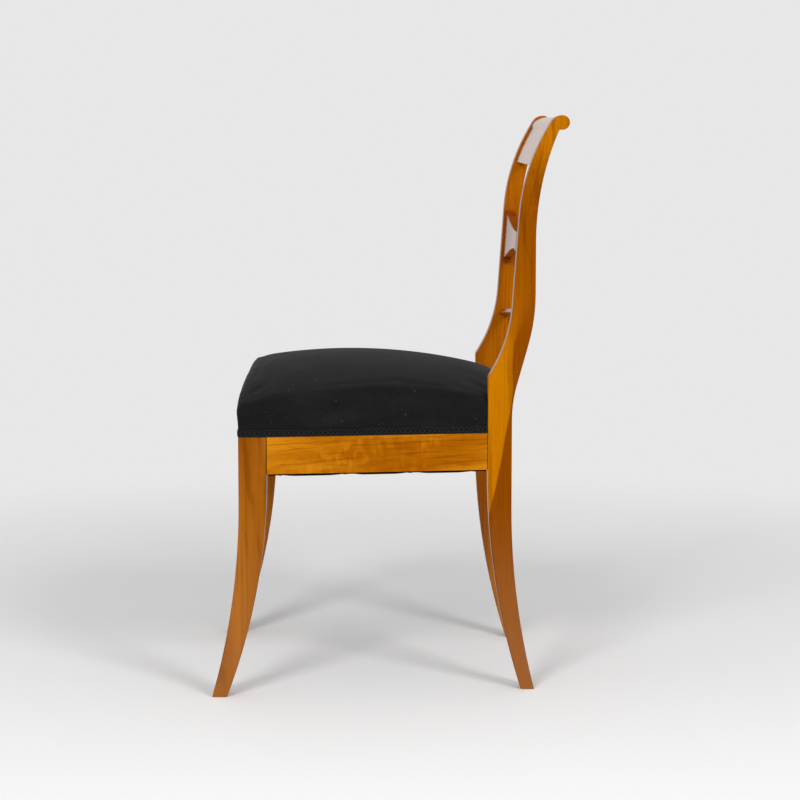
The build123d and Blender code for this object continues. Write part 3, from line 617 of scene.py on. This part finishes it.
def cap_moves(piece, rest, cap, inward):
    """Bring back points that moved farther than a cap, or too far into the piece."""
    for point, (start, normal) in zip(piece.data.vertices, rest):
        move = point.co - start
        sunk = min(move.dot(normal) + inward, 0.0)
        move -= normal * sunk
        point.co = start + move * min(1.0, cap / max(move.length, cap))


def simulate(piece, pinned, frames, stiffness, gravity, pressure=0.0):
    """Run cloth on a piece, held where a test says, and keep its last shape."""
    held = piece.vertex_groups.new(name="held")
    held.add([point.index for point in piece.data.vertices if pinned(point.co)], 1.0, "REPLACE")
    work_on(piece)
    cloth = piece.modifiers.new("cloth", "CLOTH")
    cloth.settings.quality = cloth_steps
    cloth.settings.mass = cloth_mass
    cloth.settings.tension_stiffness = cloth.settings.compression_stiffness = stiffness
    cloth.settings.shear_stiffness = stiffness / 2
    cloth.settings.bending_stiffness = cloth_bending
    cloth.settings.effector_weights.gravity = gravity
    cloth.settings.vertex_group_mass = held.name
    if pressure:
        cloth.settings.use_pressure = True
        cloth.settings.uniform_pressure_force = pressure
    cloth.point_cache.frame_start = 1
    cloth.point_cache.frame_end = frames
    for number in range(1, frames + 1):
        scene.frame_set(number)
    bpy.ops.object.modifier_apply(modifier=cloth.name)
    scene.frame_set(1)
    piece.vertex_groups.clear()


# %% Seat cover: blown up a little
before = rest_places(seat)
hem_top = seat_lo.z + hem_height
simulate(seat, lambda co: co.z < hem_top, swell_frames, swell_stiffness, 0.0, swell_pressure)
cap_moves(seat, before, swell_cap, sink_cap)
print("seat swollen:", [round(c, 4) for c in seat.dimensions])

# %% [markdown]
# Two forms of the stuffed edge are then pushed out: the roll that runs round the front
# and the sides, and the small bulge of the folded cloth at the two front corners. Each fades
# smoothly to nothing at its rim.

# %% Seat cover: rolled edge and corner folds
fold_inset = 0.002
fold_reach = 0.014
fold_rise = 0.0019
fold_top = 0.470
fold_fade = 0.016
roll_height = 0.447
roll_reach = 0.036
front_roll = 0.0034
side_roll = 0.0018

for point in seat.data.vertices:
    bulge = max(0.0, 1 - abs(point.co.z - roll_height) / roll_reach)
    bulge *= bulge * (3 - 2 * bulge)
    point.co.x += side_roll * bulge * point.normal.x
    point.co.y += front_roll * bulge * min(0.0, point.normal.y)
    corner = Vector((math.copysign(seat_hi.x - fold_inset, point.co.x), seat_lo.y + fold_inset))
    closeness = max(0.0, 1 - (point.co.xy - corner).length / fold_reach)
    lowness = min(1.0, max(0.0, (fold_top - point.co.z) / fold_fade))
    outward = Vector((math.copysign(1, point.co.x), -1, 0)).normalized()
    point.co += outward * (fold_rise * lowness * closeness**0.5)
modify(seat, "SUBSURF", levels=1, render_levels=1)
print("seat refined:", len(seat.data.polygons), "faces")

# %% [markdown]
# The cover ends in a clean line at the two stiles, so their rooms are cut out of the refined
# form, where a cut stays crisp. The form was closed below so that it could be blown up. The
# real cover is open there: its hem is tacked to the rails under the braid. So the floor of
# the form is removed, and the skin gets the thickness of cloth, inwards.

# %% Seat cover: an open skin with room for the stiles
stile_lo, stile_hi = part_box("rear_stile_left")
stile_room = 0.0006
room_floor = 0.3
room_top = 0.6
cloth_thickness = 0.0012
hem_floor = 0.004


def cut_box(piece, low, high):
    """Cut a box-shaped room out of a piece."""
    bpy.ops.object.select_all(action="DESELECT")
    middle = [(a + b) / 2 for a, b in zip(low, high)]
    bpy.ops.mesh.primitive_cube_add(size=1, location=middle)
    bpy.context.object.scale = [b - a for a, b in zip(low, high)]
    cutter = named("cutter")
    modify(piece, "BOOLEAN", operation="DIFFERENCE", object=cutter, solver="EXACT")
    bpy.data.objects.remove(cutter)


for side in (1, -1):
    inner, outer = side * (stile_lo.x - stile_room), side * stile_hi.x * 2
    cut_box(
        seat,
        (min(inner, outer), stile_lo.y - stile_room, room_floor),
        (max(inner, outer), seat_hi.y * 2, room_top),
    )
pick(seat, "FACE", lambda centre, normal: normal.z < -0.6 and centre.z < seat_lo.z + hem_floor)
bpy.ops.mesh.delete(type="FACE")
leave()
modify(seat, "SOLIDIFY", thickness=cloth_thickness, offset=-1.0)
smooth(seat, 60)
belongs(seat, "black_cloth", "seat_cover")

# %% [markdown]
# Cloth is woven from two sets of threads. A weave that follows the piece needs no unwrapping:
# there are waves along all three axes, and on each face the two that lie in it cross as
# threads, while the third, which would draw contour lines, is faded out by the facing. Nap is
# a broad, soft change of tone along the sitter's direction, and lint a few pale flecks.

# %% Woven finishes
def woven(name, base, raised, thread, nap=0.25, sheen=0.2, relief=0.5, stripe=None):
    """Plain weave with threads of a given width, soft nap and a dull sheen."""
    material, tree, shader = new_finish(
        name, Roughness=0.85, Sheen_Weight=sheen, Sheen_Roughness=0.45, Specular_IOR_Level=0.15
    )
    coordinates = add(tree, "ShaderNodeTexCoord").outputs
    place = coordinates["Object"]
    facing = add(tree, "ShaderNodeSeparateXYZ", Vector=coordinates["Normal"])
    threads = None
    for axis in "XYZ":
        wave = add(
            tree,
            "ShaderNodeTexWave",
            {"wave_type": "BANDS", "bands_direction": axis},
            Vector=place,
            Scale=math.pi / 10 / thread,
            Distortion=0.4,
            Detail=1.0,
        ).outputs["Fac"]
        level = math_node(tree, "ABSOLUTE", facing.outputs[axis])
        lying = math_node(tree, "SUBTRACT", 1.0, ramp(tree, level, 0.4, 0.8))
        wave = math_node(tree, "MULTIPLY", wave, lying)
        threads = wave if threads is None else math_node(tree, "ADD", threads, wave)
    threads = math_node(tree, "DIVIDE", threads, 2.0)
    soft = ramp(tree, stretched_noise(tree, place, (60, 7, 60), 2.0), 0.35, 0.7)
    colour = blend(tree, ramp(tree, threads, 0.35, 0.75), base, raised)
    colour = blend(tree, math_node(tree, "MULTIPLY", soft, nap), colour, raised)
    if stripe:
        colour = stripe(tree, place, colour)
    tree.links.new(colour, shader.inputs["Base Color"])
    bump = add(tree, "ShaderNodeBump", Height=threads, Strength=relief, Distance=thread / 3)
    tree.links.new(bump.outputs[0], shader.inputs["Normal"])
    return material


def lint(tree, place, colour):
    """Brushed patches, fuzz and a few pale flecks caught in the nap."""
    patches = ramp(tree, stretched_noise(tree, place, (16, 9, 28), 2.0), 0.42, 0.7)
    colour = blend(tree, math_node(tree, "MULTIPLY", patches, 0.35), colour, tone(30, 30, 31))
    fuzz = ramp(tree, stretched_noise(tree, place, (420, 240, 420), 2.0), 0.48, 0.75)
    colour = blend(tree, math_node(tree, "MULTIPLY", fuzz, 0.3), colour, tone(32, 32, 32))
    flecks = ramp(tree, stretched_noise(tree, place, (150, 150, 260), 0.0, 2.0), 0.835, 0.86)
    return blend(tree, math_node(tree, "MULTIPLY", flecks, 0.3), colour, tone(110, 110, 106))


black_wool = woven(
    "black_wool", tone(7, 7, 8), tone(15, 15, 15), 0.001, nap=0.6, sheen=0.05, relief=0.3, stripe=lint
)
seat.data.materials.append(black_wool)
print("seat cloth:", seat.data.materials[0].name)

# %% [markdown]
# Gimp is a narrow braid: a row of loops between two edge cords, on a thin tape. The tape is
# given a near black as painted shade in the gaps between the loops. One unit is modelled
# lying along X. An array repeats it to the length of its route, and a curve bends the row
# round the seat. The route is the lower outer edge of the measured braid.

# %% Braid: one unit
braid_lo, braid_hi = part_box("gimp_braid")
gimp_height = braid_hi.z - braid_lo.z
gimp_pitch = 0.0075
gimp_half = 0.0007
gimp_cord = woven("gimp_cord", tone(12, 12, 13), tone(42, 42, 44), 0.0006, nap=0.1, sheen=0.1)
# The tape's near black is painted shade for the gaps between the loops.
gimp_tape_painted_shade = woven("gimp_tape_painted_shade", tone(3, 3, 3), tone(9, 9, 9), 0.0006, nap=0.1, sheen=0.0)
loop_ring = {"major_radius": 0.0027, "minor_radius": 0.0009, "major_segments": 10, "minor_segments": 5}


def gimp_unit(name, pitch):
    """One loop, two edge cords and a piece of tape, side by side along X."""
    parts = []
    bpy.ops.object.select_all(action="DESELECT")
    bpy.ops.mesh.primitive_torus_add(
        location=(pitch / 2, 0, gimp_height / 2), rotation=(math.pi / 2, 0, 0), **loop_ring
    )
    parts.append(bpy.context.object)
    parts[0].scale = (1.15, 1.0, 1.0)
    for height in (gimp_half * 1.3, gimp_height - gimp_half * 1.3):
        bpy.ops.mesh.primitive_cylinder_add(
            vertices=6,
            radius=gimp_half,
            depth=pitch,
            end_fill_type="NOTHING",
            location=(pitch / 2, 0, height),
            rotation=(0, math.pi / 2, 0),
        )
        parts.append(bpy.context.object)
    bpy.ops.mesh.primitive_plane_add(
        size=1, location=(pitch / 2, gimp_half * 0.6, gimp_height / 2), rotation=(math.pi / 2, 0, 0)
    )
    parts.append(bpy.context.object)
    parts[3].scale = (pitch, gimp_height - 3 * gimp_half, 1)
    for part, finish in zip(parts, (gimp_cord, gimp_cord, gimp_cord, gimp_tape_painted_shade)):
        part.data.materials.append(finish)
        part.select_set(True)
    bpy.ops.object.join()
    return named(name)


def gimp_row(name, length):
    """A straight row of units of about the right pitch that fills a length."""
    count = round(length / gimp_pitch)
    row = gimp_unit(name, length / count)
    modify(
        row,
        "ARRAY",
        count=count,
        use_relative_offset=False,
        use_constant_offset=True,
        constant_offset_displace=(length / count, 0, 0),
        use_merge_vertices=True,
        merge_threshold=0.00005,
    )
    return row


print("gimp:", round(gimp_height * 1000, 1), "mm high, loops every", gimp_pitch * 1000, "mm")

# %% Braid: round the seat and across the back
def outer(centre, normal):
    """True for the faces of the measured braid that look away from the seat."""
    return abs(normal.z) < 0.5 and normal.y < 0.5 and normal.xy.dot(centre.xy) > 0


route = modelled_copy("gimp_braid", "braid_route")
pick(route, "FACE", lambda centre, normal: not outer(centre, normal))
bpy.ops.mesh.delete(type="FACE")
leave()
pick(route, "VERT", lambda co: co.z > braid_lo.z + gimp_height / 2)
bpy.ops.mesh.delete(type="VERT")
leave()
route_points = route.data.vertices
route_length = 0.0
for edge in route.data.edges:
    a, b = edge.vertices
    route_length += (route_points[a].co - route_points[b].co).length
work_on(route)
bpy.ops.object.convert(target="CURVE")
route = bpy.context.object
route.data.dimensions = "3D"
route.data.twist_mode = "Z_UP"

gimp = gimp_row("seat_gimp", route_length)
work_on(gimp)
bpy.ops.transform.translate(value=(0, gimp_half, 0))
bpy.ops.object.transform_apply(location=True, rotation=False, scale=False)
modify(gimp, "CURVE", object=route, deform_axis="POS_X")
bpy.data.objects.remove(route)
smooth(gimp, 50)
belongs(gimp, "black_braid", "gimp_braid")

back_lo, back_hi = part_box("back_gimp_braid")
back_gimp = gimp_row("back_gimp", back_hi.x - back_lo.x)
work_on(back_gimp)
back_gimp.rotation_euler = (0, 0, math.pi)
back_gimp.location = (back_hi.x, back_hi.y - gimp_half, back_lo.z)
bpy.ops.object.transform_apply(location=True, rotation=True, scale=True)
smooth(back_gimp, 50)
belongs(back_gimp, "black_braid", "back_gimp_braid")

print("route:", round(route_length, 3), "m")

# %% [markdown]
# The cloth under the seat keeps dust from falling out. It is one flat cut of thin cotton,
# notched round the four legs and tacked to the rails. A grid is cut along the lines of the
# legs and sides, and gravity then lets it sag a little between its tacks.

# %% Cloth under the seat
dust_lo, dust_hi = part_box("dust_cover")
leg_lo, leg_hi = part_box("front_leg_left")
cut_gap = 0.0015
dust_cell = 0.009
dust_thickness = 0.0005
sag_cap = 0.0015
tack_reach = 0.011
tack_head = 0.0002
sag_frames = 20
sag_stiffness = 25.0
sag_gravity = 0.6

dust_points = [point.co for point in nodes["dust_cover"].data.vertices]
side_front = max(dust_points, key=lambda co: co.x)
side_rear = max((co for co in dust_points if co.y > dust_hi.y - 0.06), key=lambda co: co.x)

bpy.ops.object.select_all(action="DESELECT")
bpy.ops.mesh.primitive_grid_add(
    x_subdivisions=round((dust_hi.x - dust_lo.x) / dust_cell),
    y_subdivisions=round((dust_hi.y - dust_lo.y) / dust_cell),
    size=1,
    location=((dust_lo.x + dust_hi.x) / 2, (dust_lo.y + dust_hi.y) / 2, dust_hi.z),
)
bpy.context.object.scale = (dust_hi.x - dust_lo.x, dust_hi.y - dust_lo.y, 1)
dust = named("dust_cloth")
legs_x, legs_y = leg_lo.x - cut_gap, leg_hi.y + cut_gap
stiles_x, stiles_y = stile_lo.x - cut_gap, stile_lo.y - cut_gap


def bisect(piece, place, direction, clear=False):
    """Cut a piece along a plane, and drop the side that the direction points to."""
    pick(piece, "FACE", lambda centre, normal: True)
    bpy.ops.mesh.bisect(plane_co=place, plane_no=direction, clear_outer=clear, threshold=0.00001)
    leave()


for side in (1, -1):
    bisect(dust, (side * legs_x, 0, 0), (1, 0, 0))
    bisect(dust, (side * stiles_x, 0, 0), (1, 0, 0))
    run = Vector((side * (side_rear.x - side_front.x), side_rear.y - side_front.y, 0))
    bisect(dust, (side * side_front.x, side_front.y, 0), (side * run.y, -side * run.x, 0), clear=True)
bisect(dust, (0, legs_y, 0), (0, 1, 0))
bisect(dust, (0, stiles_y, 0), (0, 1, 0))


def under_leg(centre, normal):
    """True where a front leg or a stile comes through the cloth."""
    in_front = abs(centre.x) > legs_x and centre.y < legs_y
    behind = abs(centre.x) > stiles_x and centre.y > stiles_y
    return in_front or behind


pick(dust, "FACE", under_leg)
bpy.ops.mesh.delete(type="FACE")
leave()

# %% Cloth under the seat: sag between the tacks
tack_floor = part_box("dust_cover_tacks")[0].z
tack_points = nodes["dust_cover_tacks"].data.vertices
tacks = [point.co for point in tack_points if point.co.z < tack_floor + tack_head]


def by_a_tack(co):
    """True close to the head of a tack."""
    return any((co.xy - tack.xy).length < tack_reach for tack in tacks)


before = rest_places(dust)
simulate(dust, by_a_tack, sag_frames, sag_stiffness, sag_gravity)
cap_moves(dust, before, sag_cap, sag_cap)
modify(dust, "SOLIDIFY", thickness=dust_thickness, offset=-1.0)
smooth(dust, 60)
dust.data.materials.append(
    woven("black_cotton", tone(20, 20, 21), tone(34, 34, 34), 0.0008, nap=0.15, sheen=0.05)
)
belongs(dust, "dust_cloth", "dust_cover")

# %% [markdown]
# Under the stuffing lies what carries it: jute straps woven over and under each other,
# the springs, and a jute cloth over the springs. The straps start from the measured ones
# and get rounded edges and the two dark stripes of upholsterer's webbing.

# %% Webbing
stripe_place = 0.016
stripe_half = 0.0022
stripe_brown = tone(58, 40, 26)
strap_edge = 0.0003
edge_angle = math.radians(60)


def webbing_stripe(axis, middle):
    """A stripe along each edge of a strap, at a distance from the strap's middle line."""

    def stripe(tree, place, colour):
        split = add(tree, "ShaderNodeSeparateXYZ", Vector=place)
        off = math_node(tree, "ABSOLUTE", math_node(tree, "SUBTRACT", split.outputs[axis], middle))
        off = math_node(tree, "ABSOLUTE", math_node(tree, "SUBTRACT", off, stripe_place))
        dark = math_node(tree, "SUBTRACT", 1.0, ramp(tree, off, stripe_half * 0.8, stripe_half))
        return blend(tree, math_node(tree, "MULTIPLY", dark, 0.8), colour, stripe_brown)

    return stripe


jute_pale = tone(186, 154, 108)
jute_dark = tone(122, 92, 56)
straps = {"along": ("left", "centre", "right"), "across": ("front", "middle", "rear")}
for direction, names in straps.items():
    axis = "X" if direction == "along" else "Y"
    for name in names:
        node = f"webbing_{direction}_{name}"
        low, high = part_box(node)
        middle = (low.x + high.x) / 2 if axis == "X" else (low.y + high.y) / 2
        strap = modelled_copy(node, f"strap_{direction}_{name}")
        modify(
            strap, "BEVEL", width=strap_edge, segments=1, limit_method="ANGLE", angle_limit=edge_angle
        )
        smooth(strap, 50)
        stripe = webbing_stripe(axis, middle)
        strap.data.materials.append(
            woven(f"jute_{direction}_{name}", jute_dark, jute_pale, 0.0022, stripe=stripe)
        )
        belongs(strap, "jute", node)

# %% Jute cloth over the springs
hessian_thickness = 0.0008
hessian = modelled_copy("spring_hessian", "spring_cloth")
pick(hessian, "FACE", lambda centre, normal: normal.z < 0.3)
bpy.ops.mesh.delete(type="FACE")
leave()
pick(hessian, "FACE", lambda centre, normal: True)
bpy.ops.mesh.dissolve_limited(angle_limit=math.radians(2))
bpy.ops.mesh.quads_convert_to_tris()
bpy.ops.mesh.subdivide(number_cuts=5)
leave()
modify(hessian, "SOLIDIFY", thickness=hessian_thickness, offset=-1.0)
smooth(hessian, 30)
hessian.data.materials.append(woven("hessian", jute_dark, jute_pale, 0.0018, nap=0.3))
belongs(hessian, "jute", "spring_hessian")

# %% [markdown]
# The stuffing is curled horsehair under a layer of cotton wadding. Both are remeshed into
# even nets and drawn in a little by a lumpy noise, so that neither touches the cloth.

# %% Hair and wadding
stuffing_net = 0.005


def stuffing(node, name, lump, inset, depth):
    """A lumpy form just inside a measured one."""
    piece = modelled_copy(node, name)
    modify(piece, "REMESH", mode="VOXEL", voxel_size=stuffing_net)
    modify(piece, "DISPLACE", strength=-inset, mid_level=0)
    lumps = bpy.data.textures.new(f"{name}_lumps", "CLOUDS")
    lumps.noise_scale = lump
    modify(piece, "DISPLACE", texture=lumps, strength=-depth, mid_level=0, texture_coords="LOCAL")
    smooth(piece, 60)
    return piece


def fibres(name, dark, pale, thread):
    """A tangle of fine fibres."""
    material, tree, shader = new_finish(name, Roughness=0.95, Sheen_Weight=0.2)
    place = add(tree, "ShaderNodeTexCoord").outputs["Object"]
    tangle = stretched_noise(tree, place, (1 / thread,) * 3, 3.0, 2.5)
    tree.links.new(blend(tree, ramp(tree, tangle, 0.4, 0.65), dark, pale), shader.inputs["Base Color"])
    bump = add(tree, "ShaderNodeBump", Height=tangle, Strength=0.8, Distance=thread / 2)
    tree.links.new(bump.outputs[0], shader.inputs["Normal"])
    return material


hair = stuffing("hair_stuffing", "curled_hair", 0.02, 0.001, 0.002)
hair.data.materials.append(fibres("curled_horsehair", tone(40, 30, 24), tone(96, 72, 54), 0.004))
belongs(hair, "horsehair", "hair_stuffing")
wadding = stuffing("wadding_layer", "cotton_wadding", 0.03, 0.0014, 0.001)
wadding.data.materials.append(fibres("cotton", tone(206, 202, 190), tone(238, 236, 228), 0.006))
belongs(wadding, "wadding", "wadding_layer")

# %% [markdown]
# The floor is dressed last. It is matt white near the chair, so that it carries the soft
# shadows, and turns into an even, shadowless white far away, as a lit backdrop does. Only
# what the camera sees, straight or mirrored in the polish, takes that white: the light that
# the floor throws back on the chair stays that of the matt floor.

# %% Floor finish
floor_white = tone(247, 247, 247)
backdrop_white = tone(231, 231, 231)
fade_start = 0.75
fade_end = 2.1

floor_finish, floor_tree, floor_shader = new_finish("studio_white", Roughness=0.9)
floor_shader.inputs["Base Color"].default_value = floor_white
floor_place = add(floor_tree, "ShaderNodeTexCoord").outputs["Object"]
away = add(floor_tree, "ShaderNodeVectorMath", {"operation": "LENGTH"}, i0=floor_place).outputs["Value"]
rays = add(floor_tree, "ShaderNodeLightPath").outputs
seen = math_node(floor_tree, "MAXIMUM", rays["Is Camera Ray"], rays["Is Glossy Ray"])
seen = math_node(floor_tree, "MAXIMUM", seen, rays["Is Transmission Ray"])
share = math_node(floor_tree, "MULTIPLY", seen, ramp(floor_tree, away, fade_start, fade_end))
glow = add(floor_tree, "ShaderNodeEmission", Color=backdrop_white, Strength=1.0).outputs[0]
mixed = add(floor_tree, "ShaderNodeMixShader", i0=share, i1=floor_shader.outputs[0], i2=glow)
floor_tree.links.new(mixed.outputs[0], floor_tree.nodes["Material Output"].inputs["Surface"])
studio.data.materials.append(floor_finish)
print("floor:", floor_finish.name)
